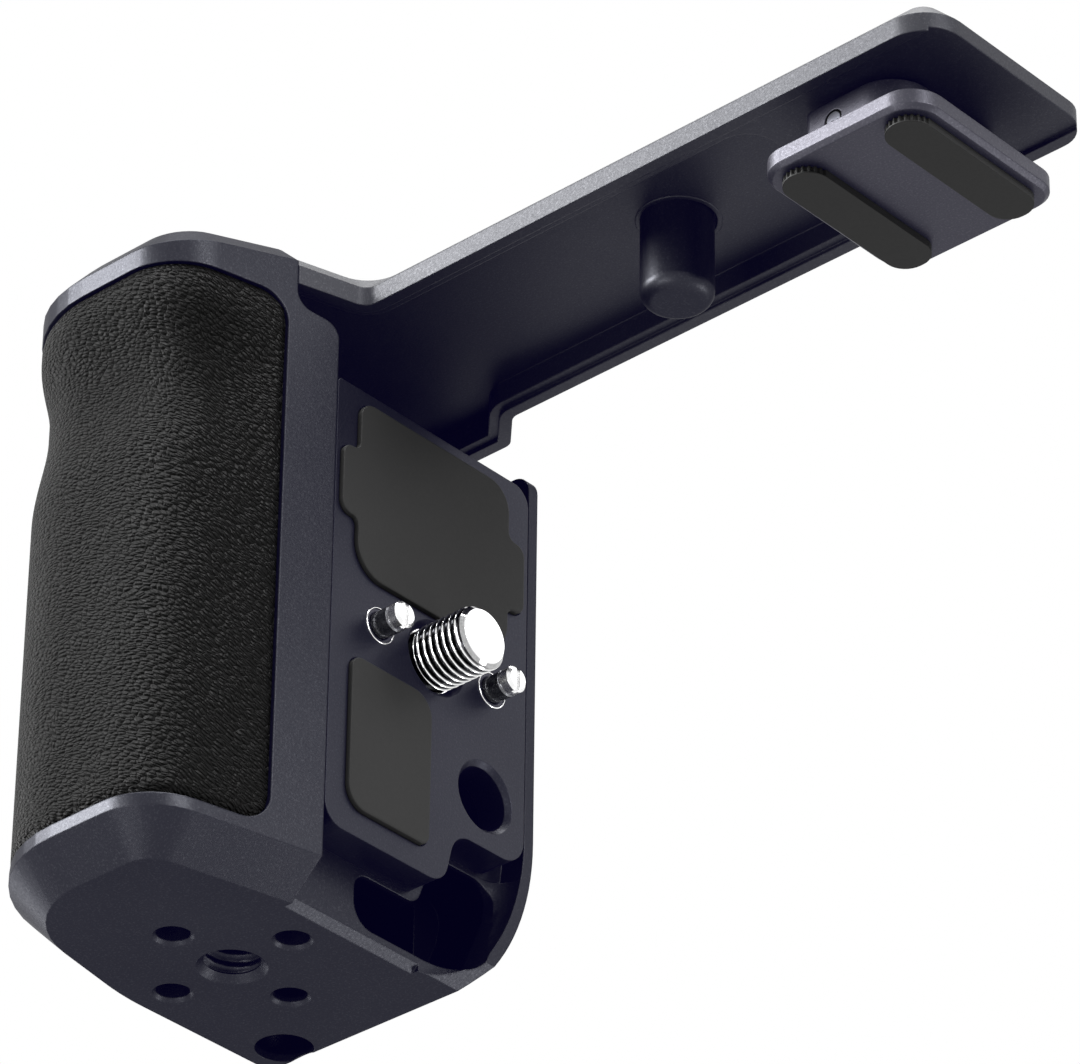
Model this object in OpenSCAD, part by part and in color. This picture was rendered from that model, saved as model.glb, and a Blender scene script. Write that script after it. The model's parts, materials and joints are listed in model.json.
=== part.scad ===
// Side grip with an over-arm for a caged compact camera. Millimetres.
// X runs along the arm, away from the palm. Y runs from the lens side to the rear. Z is up.
// The origin is where the axis of the camera screw meets the mating face.

/* [Grip] */
// Mating face to palm face
grip_width = 30.5; // [29:0.5:34]
// Front face ahead of the screw axis
grip_front = 32; // [30.5:0.5:35]
// Rear face behind the screw axis
grip_rear = 14.5; // [14.2:0.1:16]
// Top of the grip above the screw axis
grip_above = 37.2; // [37:0.1:39]
// Bottom face below the screw axis
grip_below = 30.25; // [29.75:0.25:33]
// Front corner of the mating face ahead of the screw axis
corner_front = 14; // [13.9:0.1:14.6]
// Lean of the finger face from the front-rear line
finger_lean = 13; // [9:1:16]
// Radius of the nose between the front face and the finger face
nose_radius = 6.6; // [5:0.2:8]
// Radius of the front corner on the palm side
palm_corner_radius = 13.2; // [10:0.2:14]
// Radius of the rear corner on the palm side
rear_corner_radius = 6; // [4:0.5:8]
// Chamfer round the bottom face
bottom_chamfer = 3.5; // [2.5:0.25:4]
// Chamfer round the top of the grip
top_chamfer = 2.2; // [1.5:0.1:2.6]
// Fall of the top face towards the front
top_fall = 10; // [4:1:12]
// Radius of the curve that draws the rear face in towards the bottom
rear_sweep_radius = 24.6; // [22:0.2:30]

/* [Leather] */
// Thickness of the moulded leather pad
leather_thickness = 2.2; // [1.8:0.1:2.6]
// Metal border between the finger face's rear edge and the leather
leather_setback = 5.4; // [4.6:0.2:7]
// Rear end of the leather on the palm, behind the screw axis
leather_rear = 8; // [7:0.5:8.5]
// Top edge of the leather above the screw axis
leather_top = 30.7; // [30:0.1:31.2]
// Metal band between the bottom chamfer and the leather
leather_band = 1.25; // [0.75:0.25:3]
// Corner radius of the leather
leather_corner = 3; // [2:0.5:4]
// Depth of the finger groove
groove_depth = 1.1; // [0.6:0.1:1.4]
// Height of the groove's deepest line above the screw axis
groove_height = 21; // [19:0.5:22]

/* [Mating plate] */
// Thickness of the mating plate, which stands proud of the grip's side by as much
plate_thickness = 3.7; // [3.2:0.1:4.5]
// Rear edge of the plate behind the screw axis
plate_rear = 12.1; // [11.8:0.1:12.4]
// Top edge of the plate above the screw axis
plate_top = 24; // [23.6:0.1:25]
// Low front part of the plate's bottom edge, below the screw axis
plate_bottom = 23; // [22:0.25:23.5]
// Rise of the step in the plate's bottom edge
plate_step = 6; // [5:0.25:6.5]
// Proud height of the rubber pads on the plate
pad_proud = 0.45; // [0.3:0.05:0.6]
// Depth of the pad seats
pad_seat = 0.5; // [0.4:0.05:0.7]
// Radius of the accessory hole in the plate
plate_hole_radius = 3.15; // [2.9:0.05:3.3]
// Accessory hole behind the screw axis
plate_hole_rear = 6.85; // [6.5:0.05:7.2]
// Accessory hole below the screw axis
plate_hole_below = 11.65; // [11.2:0.05:12]

/* [Camera screw and pins] */
// Radius of the quarter-inch camera screw
screw_radius = 3.175; // [3.0:0.005:3.25]
// Length of the camera screw in front of the mating face
screw_reach = 6; // [5:0.25:7]
// Radius of the camera screw's head
screw_head_radius = 4.6; // [4.4:0.1:4.8]
// Length of the camera screw's head
screw_head_length = 5; // [4:0.5:6]
// Shoulder that stops the screw head, behind the mating face
screw_shoulder = 9; // [8.5:0.5:12]
// Width across the flats of the hex socket
socket_flats = 4; // [3.5:0.5:5]
// Distance of each locating pin from the screw axis
pin_offset = 7.5; // [7.4:0.05:7.6]
// Radius of a locating pin
pin_radius = 1.3; // [1.2:0.05:1.4]
// Length of a locating pin in front of the mating face
pin_reach = 3.3; // [2.8:0.1:4]

/* [Bottom] */
// Centre of the bottom thread behind the mating face
thread_back = 15.7; // [15.2:0.1:16.5]
// Centre of the bottom thread ahead of the screw axis
thread_front = 9.1; // [8.6:0.1:9.6]
// Minor radius of the tapped quarter-inch bottom thread
thread_radius = 2.6; // [2.5:0.05:2.7]
// Depth of the bottom thread
thread_depth = 6.5; // [5.5:0.5:8]
// Distance of the pin holes from the bottom thread
pin_circle = 7.5; // [7.3:0.1:7.7]
// Radius of the pin holes
pin_hole_radius = 1.55; // [1.4:0.05:1.7]
// Depth of the pin holes
pin_hole_depth = 2.6; // [2:0.2:3]
// Radius of the strap hole
strap_hole_radius = 2.75; // [2.2:0.05:2.8]

/* [Arm] */
// Length of the arm from the mating face
arm_length = 68.4; // [66.8:0.2:76]
// Front edge of the arm ahead of the screw axis
arm_front = 11.5; // [11.2:0.1:12.4]
// Rear edge of the arm behind the screw axis
arm_rear = 11.05; // [10.8:0.05:11.5]
// Underside of the arm above the screw axis
arm_underside = 32.5; // [32.3:0.1:33.5]
// Thickness of the arm
arm_thickness = 4.5; // [4.2:0.1:5]
// Chamfer round the top of the arm
arm_chamfer = 2.5; // [1.5:0.1:2.8]
// Depth of the long pocket in the underside
pocket_depth = 2.7; // [2.2:0.1:2.8]
// Depth of the shallow recess in the underside
recess_depth = 0.4; // [0.3:0.05:0.6]
// Tip end of the long pocket
pocket_end = 46; // [40:1:47]
// Rim left round the shallow recess
rim_width = 1.25; // [1:0.05:1.5]
// Ledge between the rim and the long pocket
ledge_width = 0.95; // [0.6:0.05:1.4]

/* [Shutter plunger] */
// Plunger axis from the mating face
plunger_at = 29.4; // [26:0.2:34]
// Radius of the plunger's peg
peg_radius = 3.45; // [3:0.05:3.6]
// Length of the peg below the pocket floor
peg_length = 9.25; // [6:0.25:10]
// Travel of the plunger
plunger_travel = 1.5; // [1:0.1:1.8]
// Height of the guide bush above the arm
bush_height = 3.7; // [3.4:0.1:4]
// Turns of the return spring
spring_turns = 3; // [2.5:0.5:3.5]

/* [Shoe foot] */
// Foot's middle from the mating face
foot_at = 56.3; // [55.8:0.1:56.8]
// Width of the foot, across the shoe's rails
foot_width = 18.6; // [18:0.1:18.7]
// Length of the foot, along the shoe's rails
foot_length = 20.4; // [18:0.2:21]
// Thickness of the foot's plate
foot_thickness = 1.9; // [1.6:0.05:2]
// Underside of the foot's plate above the screw axis
foot_underside = 26.2; // [25.6:0.1:26.4]
// Length of the neck along the arm
neck_width = 11; // [10:0.5:12]
// Depth of the neck from front to rear
neck_depth = 16; // [14:0.5:17]
// Pivot pin from the foot's middle, towards the grip
pivot_offset = 1.9; // [1.5:0.1:2.4]
// Radius of the pivot pin
pivot_radius = 0.95; // [0.8:0.05:1]
// Width of a rubber strip under the foot
strip_width = 4.5; // [3.5:0.1:5]
// Length of a rubber strip under the foot
strip_length = 18.2; // [16:0.2:18.4]
// Thickness of a rubber strip below the foot
strip_proud = 0.8; // [0.5:0.05:1]

/* [Fits] */
// Running clearance round a turning or sliding shaft
running = 0.06; // [0.03:0.01:0.09]
// Clearance between pieces that move past each other
clearance = 0.3; // [0.25:0.05:0.35]
// Air between the leather and its seat
leather_gap = 0.05; // [0.03:0.01:0.08]

/* [Hidden] */
$fn = 64;
arc_steps = 9;
far = 60;
metal = [0.30, 0.31, 0.37];
steel = [0.80, 0.81, 0.83];
rubber = [0.20, 0.20, 0.20];
leather = [0.10, 0.10, 0.11];

function unit(v) = v / norm(v);
function left_of(v) = [-v.y, v.x];
function cross2(u, v) = u.x * v.y - u.y * v.x;
function line_meet(p, u, q, v) = p + u * cross2(q - p, v) / cross2(u, v);
function before(list, i) = list[(i + len(list) - 1) % len(list)];
function after(list, i) = list[(i + 1) % len(list)];
function smooth(t) = let(c = min(max(t, 0), 1)) c * c * (3 - 2 * c);

// Points of the arc that rounds corner q between p and s
function corner_arc(p, q, s, r) =
    r < 0.01 ? [q] :
    let(
        u = unit(p - q),
        v = unit(s - q),
        half = acos(u * v) / 2,
        centre = q + unit(u + v) * r / sin(half),
        first = q + u * r / tan(half) - centre,
        last = q + v * r / tan(half) - centre,
        start = atan2(first.y, first.x),
        turn = atan2(cross2(first, last), first * last)
    )
    [for (i = [0:arc_steps]) centre + r * [cos(start + turn * i / arc_steps), sin(start + turn * i / arc_steps)]];

// Closed outline from corners given as [x, y, radius], counter-clockwise, drawn in by inset
function drawn_in(corners, inset) = [for (i = [0:len(corners) - 1])
    let(
        p = [before(corners, i).x, before(corners, i).y],
        q = [corners[i].x, corners[i].y],
        s = [after(corners, i).x, after(corners, i).y],
        u = unit(q - p),
        v = unit(s - q),
        bend = cross2(u, v),
        at = abs(bend) < 0.001 ? q + left_of(u) * inset
            : line_meet(q + left_of(u) * inset, u, q + left_of(v) * inset, v),
        r = corners[i][2]
    )
    [at.x, at.y, r < 0.01 ? 0 : max(bend > 0 ? r - inset : r + inset, 0.02)]];
function outline(corners, inset = 0) =
    let(c = inset == 0 ? corners : drawn_in(corners, inset))
    [for (i = [0:len(c) - 1])
        each corner_arc([before(c, i).x, before(c, i).y], [c[i].x, c[i].y], [after(c, i).x, after(c, i).y], c[i][2])];

// Plan of the grip, counter-clockwise from the front corner of the mating face
finger_way = [sin(finger_lean), cos(finger_lean)];
front_corner = [0, -corner_front];
nose = front_corner - finger_way * (grip_front - corner_front) / finger_way.y;
palm_start = [-grip_width, -12];
palm_front = [4 - grip_width, -grip_front];
grip_corners = [
    [front_corner.x, front_corner.y, 0],
    [0, grip_rear, 0],
    [-grip_width, grip_rear, rear_corner_radius],
    [palm_start.x, palm_start.y, 30],
    [palm_front.x, palm_front.y, palm_corner_radius],
    [nose.x, nose.y, nose_radius]];

// Levels of the grip
top_break = -19;
sweep_start = -13;
chamfer_level = bottom_chamfer - grip_below;
leather_bottom = chamfer_level + leather_band;
side_face = -plate_thickness;

// Seat of the arm's root in the top of the grip
root_front = -18.6;
root_back = -22;
arm_top = arm_underside + arm_thickness;
pocket_floor = arm_underside + pocket_depth;
arm_middle = (arm_rear - arm_front) / 2;

// Flange behind the plate, and the strap pocket below it
flange_thickness = 1.2;
flange_edge = -1;
flange_top = 27.2;
gap_back = -12.2;
pocket_roof = plate_bottom + 0.5;
strap_floor = grip_below - 1.45;
side_chamfer = 0.8;

// The flange follows the sweep of the rear face, and runs into the side face below the plate
sweep_middle = grip_rear - rear_sweep_radius;
flange_reach = rear_sweep_radius - flange_thickness;
flange_fillet = flange_edge + plate_thickness;
fillet_top = plate_step - plate_bottom - clearance;

// Chamber that joins the strap pocket and the strap hole
chamber_at = [-26, -2.5, 3.75 - grip_below];
chamber_size = [20, 10.5, 7.5];
strap_hole_at = [-22.9, 5.1];
strap_corners = [
    [-6.1, -strap_floor, 2.4],
    [8, -strap_floor, 2.3],
    [11, -strap_floor + 7, 3],
    [plate_rear - 0.3, 0.4 - (pocket_roof - plate_step + 0.5), 2],
    [4.2, 0.4 - (pocket_roof - plate_step + 0.5), 2],
    [2, -pocket_roof, 1.6],
    [-6.1, -pocket_roof, 1.7]];

plate_corners = [
    [clearance / 3 - corner_front, -plate_bottom, 2.2],
    [1.6, -plate_bottom, 2.4],
    [3, plate_step - plate_bottom, 2.6],
    [plate_rear, plate_step - plate_bottom, 2.8],
    [plate_rear, plate_top, 2],
    [clearance / 3 - corner_front, plate_top, 0.5]];

// Rubber pads as seen on the mating face: the upper one has a tab at each side
pad_lower_corners = [[-11.35, -20.4, 2.2], [-0.78, -20.4, 1.2], [-0.78, -4.75, 2.4], [-11.35, -4.75, 1.4]];
pad_upper_corners = [
    [-11.15, 4.1, 3.4], [9.1, 4.1, 3.4], [9.1, 9.5, 0.8], [11.3, 9.5, 1.3], [11.3, 17.1, 1.2],
    [9.1, 17.1, 0.9], [9.1, 22.7, 2.8], [-11.15, 22.7, 1.8], [-11.15, 17.1, 0.8],
    [-13.3, 17.1, 1.2], [-13.3, 9.7, 1.2], [-11.15, 9.7, 0.8]];
plate_screw_spots = [[-8.8, 18], [6.6, 18.2], [-8.4, -7.4], [-4, -17.6]];
plate_screw_radius = 1.25;
plate_screw_head = 2.3;
plate_screw_length = 8;

// Camera screw and what holds it in the grip
washer_radius = screw_head_radius + 0.2;
washer_thickness = 0.6;
access_radius = washer_radius + clearance;
head_back = -screw_shoulder - washer_thickness - 0.1;
clip_thickness = 0.6;
clip_radius = 5;
clip_groove_radius = screw_radius - 0.55;
clip_back = side_face - clearance - clip_thickness;
screw_thread_chamfer = 0.55;
thread_relief = 0.8;

pin_shank = pin_radius + 0.5;
pin_neck = pin_radius - 0.2;
pin_neck_length = 0.8;
pin_slot = 0.5;

// Arm fixing
arm_screw_spots = [[-15, -14], [-18.5, -1.5], [-15, 10]];
arm_screw_radius = 1.5;
arm_screw_head = 2.9;
arm_screw_length = 11;

// Shutter plunger: the bush rests on a lip at the pocket floor and holds shelf, spring well and stem
bush_radius = 4.6;
bush_rim = 5.4;
bush_rim_thickness = 0.8;
lip_thickness = 0.6;
shelf_bottom = pocket_floor + lip_thickness;
shelf_thickness = 0.8;
stem_radius = 1.8;
button_radius = 3.3;
wire_radius = 0.18;
bush_top = arm_top + bush_height;
spring_bottom = shelf_bottom + shelf_thickness;
spring_length = 3;
button_bottom = spring_bottom + spring_length;
button_thickness = bush_top + plunger_travel + 0.2 - button_bottom;
peg_fillet = 1.3;
turns_pitch = (spring_length - 2 * wire_radius - 0.06) / spring_turns;
echo(spring_least_gap = turns_pitch - 2 * wire_radius);

// Shoe foot, its neck and the lug it tilts on
recess_floor = arm_underside + recess_depth;
neck_top = arm_underside - 0.1;
foot_top = foot_underside + foot_thickness;
pivot_at = foot_at - pivot_offset;
pivot_height = foot_top + 2.3;
lug_depth = 6;
lug_width = 9.8;
lug_bottom = foot_top + 0.85;
slot_bottom = foot_top + 0.4;
strip_offset = 5.85;

module prism(points, low, high) {
    translate([0, 0, low]) linear_extrude(high - low) polygon(points);
}

// Outline in front-rear and height, run along X
module x_prism(points, low, high) {
    translate([low, 0, 0]) rotate([90, 0, 90]) linear_extrude(high - low) polygon(points);
}

// Outline in length and height, run along Y
module y_prism(points, low, high) {
    translate([0, high, 0]) rotate([90, 0, 0]) linear_extrude(high - low) polygon(points);
}

module x_rod(r, low, high, spot = [0, 0]) {
    translate([low, spot.x, spot.y]) rotate([0, 90, 0]) cylinder(h = high - low, r = r);
}

module y_rod(r, low, high, spot) {
    translate([spot.x, low, spot.y]) rotate([-90, 0, 0]) cylinder(h = high - low, r = r);
}

module z_rod(r, low, high, spot) {
    translate([spot.x, spot.y, low]) cylinder(h = high - low, r = r);
}

// Solid through rings of points, each as long as the others, from the lowest up.
// Both ends are closed by lids, each a convex face given by its points' numbers.
module stack(rings, lids = []) {
    n = len(rings[0]);
    top = (len(rings) - 1) * n;
    ends = len(lids) > 0 ? lids : [[for (i = [0:n - 1]) i]];
    polyhedron(points = [for (r = rings) each r], faces = concat(
        ends,
        [for (lid = ends) [for (i = [len(lid) - 1:-1:0]) top + lid[i]]],
        [for (j = [0:len(rings) - 2], i = [0:n - 1])
            let(k = (i + 1) % n)
            [j * n + i, (j + 1) * n + i, (j + 1) * n + k, j * n + k]]));
}

// Countersunk screw along -Z from its head's top face at the origin
module countersunk(r, head, length, flats) {
    difference() {
        rotate_extrude() polygon([[0, 0], [head, 0], [head, -0.25], [r, -0.25 - (head - r)], [r, -length + 0.4],
            [r - 0.4, -length], [0, -length]]);
        translate([0, 0, -0.55 * head]) cylinder(h = head, r = flats / sqrt(3), $fn = 6);
    }
}

// Hole that the countersunk screw sits in
module countersink(r, head, length, gap = 0.08) {
    rotate_extrude() polygon([[0, 0.5], [head + gap, 0.5], [head + gap, -0.25],
        [r + gap, -0.25 - (head - r)], [r + gap, -length - 0.5], [0, -length - 0.5]]);
}

// The grip's plan with a point added on each side where the top starts to fall
function broken(points) = [for (i = [0:len(points) - 1])
    let(p = points[i], q = after(points, i))
    each (p.y - top_break) * (q.y - top_break) < 0
        ? [p, p + (q - p) * (top_break - p.y) / (q.y - p.y)]
        : [p]];
function raised(points, level, fall = 0) = [for (p = points)
    [p.x, p.y, level - tan(fall) * max(top_break - p.y, 0)]];

module grip_block() {
    full = broken(outline(grip_corners));
    drawn = broken(outline(grip_corners, top_chamfer));
    n = len(full);
    ahead = [for (i = [0:n - 1]) if (full[i].y < top_break + 0.001) i];
    behind = [for (i = [0:n - 1]) if (full[i].y > top_break - 0.001) i];
    stack([
        raised(broken(outline(grip_corners, bottom_chamfer)), -grip_below),
        raised(full, chamfer_level),
        raised(full, grip_above - top_chamfer, top_fall),
        raised(drawn, grip_above, top_fall)], [ahead, behind]);
}

// Everything behind and below the curve of the rear face
module rear_sweep(radius, reach) {
    difference() {
        translate([-far, grip_rear - rear_sweep_radius, -far]) cube([2 * far, reach, far + sweep_start]);
        y = grip_rear - rear_sweep_radius;
        x_rod(radius, -far - 1, far + 1, [y, sweep_start]);
    }
}

module leather_window(side, thickness) {
    front = -far;
    rear = side == "finger" ? -corner_front - leather_setback : leather_rear;
    corners = [[front, leather_bottom, 0], [rear, leather_bottom, leather_corner],
        [rear, leather_top, leather_corner], [front, leather_top, 0]];
    middle = -grip_width / 2;
    x_prism(outline(corners), side == "finger" ? middle : -far, side == "finger" ? far : middle);
}

module leather_seat() {
    intersection() {
        difference() {
            prism(outline(grip_corners, -1), leather_bottom - 1, leather_top + 1);
            prism(outline(grip_corners, leather_thickness), leather_bottom - 2, leather_top + 2);
        }
        union() {
            leather_window("finger");
            leather_window("palm");
        }
    }
}

// Stepped edge of the finger wall, where it drops from the arm to the mating face
step_low = arm_underside - 2.3;
step_corners = [
    [root_front, arm_underside + 8, 0],
    [root_front, step_low, 1.9],
    [-corner_front, step_low - 0.75, 1.8],
    [-corner_front, plate_top, 0],
    [far, plate_top, 0],
    [far, arm_underside + 8, 0]];

// Space in front of the side face, up to the flange and its fillet
module side_recess() {
    front = -corner_front;
    translate([side_face, front, sweep_start]) cube([far, grip_rear - flange_thickness - front, far]);
    intersection() {
        translate([side_face, front, fillet_top - 0.01]) cube([far, far, sweep_start - fillet_top + 0.02]);
        x_rod(flange_reach, side_face, far, [sweep_middle, sweep_start]);
    }
    intersection() {
        translate([side_face, front, -far]) cube([far, far, far + fillet_top]);
        translate([0, sweep_middle, sweep_start]) rotate([0, 90, 0]) rotate_extrude() polygon(concat(
            [[0, side_face]],
            [for (a = [0:10:90]) [flange_reach - flange_fillet * (1 - sin(a)),
                flange_edge - flange_fillet * cos(a)]],
            [[flange_reach, far], [0, far]]));
    }
}

// Open space under the arm's root, with the flange left standing
module arm_gap() {
    difference() {
        x_prism(outline(step_corners), gap_back, far);
        y_prism(outline([[-far, 0, 0], [flange_edge, 0, 0], [flange_edge, flange_top, 2], [-far, flange_top, 0]]),
            grip_rear - flange_thickness, far);
    }
}

module grip_shell() {
    color(metal) difference() {
        grip_block();
        rear_sweep(rear_sweep_radius, far);
        leather_seat();

        // Side face behind the plate, with the flange left standing at the rear
        side_recess();
        translate([flange_edge, 0, -far]) cube([far, far, 2 * far]);

        // Edge chamfer below the side face, as far back as the flange's fillet
        y_prism([[side_face - side_chamfer, -grip_below - 0.01], [far, -grip_below - 0.01],
            [far, side_chamfer - grip_below], [side_face, side_chamfer - grip_below]], -corner_front, 2.4);

        arm_gap();

        // Seat of the arm's root
        arm_root_space();

        // Strap pocket, its chamber and its hole
        x_prism(outline(strap_corners), side_face - 6, far);
        translate(chamber_at) cube(chamber_size);
        z_rod(strap_hole_radius, -far, chamber_at.z + 1, strap_hole_at);

        // Camera screw's bore, clip seat and key access
        x_rod(screw_radius + running, -far, far);
        x_rod(clip_radius + clearance, clip_back - clearance, far);
        x_rod(access_radius, -far, -screw_shoulder);

        // Room behind the accessory hole
        x_rod(plate_hole_radius + 0.5, side_face - 5, far, [plate_hole_rear, -plate_hole_below]);

        // Threads for the plate and arm screws
        for (spot = plate_screw_spots)
            x_rod(plate_screw_radius + 0.02, -pad_seat - plate_screw_length - 0.5, far, spot);
        for (spot = arm_screw_spots)
            z_rod(arm_screw_radius + 0.02, arm_top - arm_screw_length - 0.5, far, spot);

        // Bottom thread and its pin holes
        z_rod(thread_radius, -grip_below - 1, thread_depth - grip_below, [-thread_back, -thread_front]);
        bottom_countersink(thread_radius, 0.7, [-thread_back, -thread_front]);
        for (a = [0:90:270]) {
            spot = [-thread_back + pin_circle * cos(a), -thread_front + pin_circle * sin(a)];
            z_rod(pin_hole_radius, -grip_below - 1, pin_hole_depth - grip_below, spot);
            bottom_countersink(pin_hole_radius, 0.35, spot);
        }
    }
}

module bottom_countersink(r, depth, spot) {
    translate([spot.x, spot.y, -grip_below - 0.01]) cylinder(h = depth, r1 = r + depth, r2 = r);
}

module leather_wrap() {
    color(leather) difference() {
        leather_body();
        x_rod(access_radius + 1, -far, -grip_width / 2);
    }
}

// Leather pad: a path round the grip, lifted through levels that the finger groove draws in
ease = [for (i = [0:5]) leather_corner * (1 - cos(18 * i))];
leather_start = front_corner - finger_way * leather_setback / finger_way.y;
function leather_corners(inset) =
    let(c = drawn_in(grip_corners, inset), n = left_of(finger_way))
    [
        [leather_start.x, leather_start.y] + n * inset - finger_way * n.y * inset / finger_way.y,
        [c[5].x, c[5].y], [c[4].x, c[4].y], [c[3].x, c[3].y],
        [inset - grip_width, leather_rear]];
function leather_path(inset) =
    let(
        c = leather_corners(inset),
        r = [for (i = [5, 4, 3]) grip_corners[i][2] - inset],
        u = unit(c[1] - c[0]),
        v = unit(c[3] - c[4])
    )
    concat(
        [for (e = ease) c[0] + u * (leather_gap + e)],
        corner_arc(c[0], c[1], c[2], r[0]),
        [for (t = [0.35, 0.7]) (c[1] + c[2]) / 2 + unit(c[2] - c[1]) * (t - 0.5)],
        corner_arc(c[1], c[2], c[3], r[1]),
        corner_arc(c[2], c[3], c[4], r[2]),
        [for (t = [0.3, 0.65]) [c[4].x, palm_start.y + 4 + t * (leather_rear - palm_start.y - 9)]],
        [for (i = [5:-1:0]) c[4] + v * (leather_gap + ease[i])]);
function groove_at(p) = p.x < -grip_width / 2
    ? smooth((2 - p.y) / 16)
    : smooth((-corner_front - leather_setback - p.y + 1) / 9);
function groove(z) = groove_depth * smooth((groove_height + 7.8 - z) / 7) * smooth((z - groove_height + 10.5) / 9.5);
function end_rise(i, n) =
    let(d = i < 6 ? ease[i] : i > n - 7 ? ease[n - 1 - i] : leather_corner)
    leather_corner - sqrt(max(leather_corner ^ 2 - (leather_corner - d) ^ 2, 0));
leather_levels = concat([0, 0.16, 0.34, 0.52, 0.62], [for (i = [1:11]) 0.62 + i * 0.034], [1]);

module leather_body() {
    outer = leather_path(leather_gap);
    inner = leather_path(leather_thickness - leather_gap);
    n = len(outer);
    m = len(leather_levels);
    low = leather_bottom + leather_gap;
    high = leather_top - leather_gap;
    points = [for (skin = [0, 1], j = [0:m - 1], i = [0:n - 1])
        let(
            rise = end_rise(i, n),
            z = low + rise + (high - low - 2 * rise) * leather_levels[j],
            way = unit(inner[i] - outer[i]),
            p = skin == 0 ? outer[i] + way * groove(z) * groove_at(outer[i]) : inner[i]
        )
        [p.x, p.y, z]];
    function at(skin, j, i) = skin * m * n + j * n + i;
    polyhedron(points = points, faces = concat(
        [for (j = [0:m - 2], i = [0:n - 2], k = [0, 1]) k == 0
            ? [at(0, j, i), at(0, j, i + 1), at(0, j + 1, i + 1)]
            : [at(0, j, i), at(0, j + 1, i + 1), at(0, j + 1, i)]],
        [for (j = [0:m - 2], i = [0:n - 2], k = [0, 1]) k == 0
            ? [at(1, j, i), at(1, j + 1, i + 1), at(1, j, i + 1)]
            : [at(1, j, i), at(1, j + 1, i), at(1, j + 1, i + 1)]],
        [for (i = [0:n - 2], k = [0, 1]) k == 0
            ? [at(0, 0, i), at(1, 0, i), at(1, 0, i + 1)]
            : [at(0, 0, i), at(1, 0, i + 1), at(0, 0, i + 1)]],
        [for (i = [0:n - 2], k = [0, 1]) k == 0
            ? [at(0, m - 1, i), at(1, m - 1, i + 1), at(1, m - 1, i)]
            : [at(0, m - 1, i), at(0, m - 1, i + 1), at(1, m - 1, i + 1)]],
        [for (j = [0:m - 2], k = [0, 1]) k == 0
            ? [at(0, j, 0), at(1, j + 1, 0), at(1, j, 0)]
            : [at(0, j, 0), at(0, j + 1, 0), at(1, j + 1, 0)]],
        [for (j = [0:m - 2], k = [0, 1]) k == 0
            ? [at(0, j, n - 1), at(1, j, n - 1), at(1, j + 1, n - 1)]
            : [at(0, j, n - 1), at(1, j + 1, n - 1), at(0, j + 1, n - 1)]]));
}

module side_plate() {
    color(metal) difference() {
        x_prism(outline(plate_corners), side_face, 0);
        x_prism(outline(pad_upper_corners, -0.1), -pad_seat, 1);
        x_prism(outline(pad_lower_corners, -0.1), -pad_seat, 1);
        x_rod(screw_radius + 0.15, -far, far);
        mouth(screw_radius + 0.15, 0.5, [0, 0]);
        x_rod(plate_hole_radius, -far, far, [plate_hole_rear, -plate_hole_below]);
        mouth(plate_hole_radius, 0.5, [plate_hole_rear, -plate_hole_below]);
        for (side = [-1, 1]) {
            x_rod(pin_shank, -far, -pin_neck_length, [side * pin_offset, 0]);
            x_rod(pin_radius + 0.1, -far, far, [side * pin_offset, 0]);
            mouth(pin_radius + 0.1, 0.3, [side * pin_offset, 0]);
        }
        for (spot = plate_screw_spots)
            translate([-pad_seat, spot.x, spot.y]) rotate([0, 90, 0])
                countersink(plate_screw_radius, plate_screw_head, plate_screw_length);
    }
}

// Chamfered mouth of a hole in the mating face
module mouth(r, depth, spot) {
    translate([-depth, spot.x, spot.y]) rotate([0, 90, 0]) cylinder(h = depth + 0.01, r1 = r, r2 = r + depth);
}

module pad_upper() {
    color(rubber) x_prism(outline(pad_upper_corners), -pad_seat, pad_proud);
}

module pad_lower() {
    color(rubber) x_prism(outline(pad_lower_corners), -pad_seat, pad_proud);
}

module plate_screws() {
    color(steel) for (spot = plate_screw_spots)
        translate([-pad_seat - 0.05, spot.x, spot.y]) rotate([0, 90, 0])
            countersunk(plate_screw_radius, plate_screw_head, plate_screw_length, 1.5);
}

module camera_screw() {
    color(steel) difference() {
        union() {
            rotate([0, 90, 0]) rotate_extrude() polygon([
                [0, head_back], [screw_radius, head_back], [screw_radius, clip_back],
                [clip_groove_radius, clip_back], [clip_groove_radius, clip_back + clip_thickness],
                [screw_radius, clip_back + clip_thickness], [screw_radius, -thread_relief],
                [screw_radius - 0.4, -thread_relief], [screw_radius - 0.4, 0],
                [screw_radius, 0], [screw_radius, screw_reach - screw_thread_chamfer],
                [screw_radius - screw_thread_chamfer, screw_reach], [0, screw_reach]]);
            rotate([0, 90, 0]) rotate_extrude() polygon([
                [0, head_back - screw_head_length], [screw_head_radius - 0.5, head_back - screw_head_length],
                [screw_head_radius, head_back - screw_head_length + 0.5], [screw_head_radius, head_back],
                [0, head_back]]);
        }
        translate([head_back - screw_head_length - 0.01, 0, 0]) rotate([0, 90, 0])
            cylinder(h = 3.2, r = socket_flats / sqrt(3), $fn = 6);
    }
}

module screw_washer() {
    color(steel) difference() {
        x_rod(washer_radius, -screw_shoulder - washer_thickness, -screw_shoulder);
        x_rod(screw_radius + running, -far, far);
    }
}

// Retaining clip in the screw's groove, open at one side
module screw_clip() {
    color(steel) difference() {
        x_rod(clip_radius, clip_back + 0.02, clip_back + clip_thickness - 0.02);
        x_rod(clip_groove_radius, -far, far);
        translate([-far, -clip_groove_radius * 0.8, 0]) cube([2 * far, clip_groove_radius * 1.6, far]);
    }
}

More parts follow.
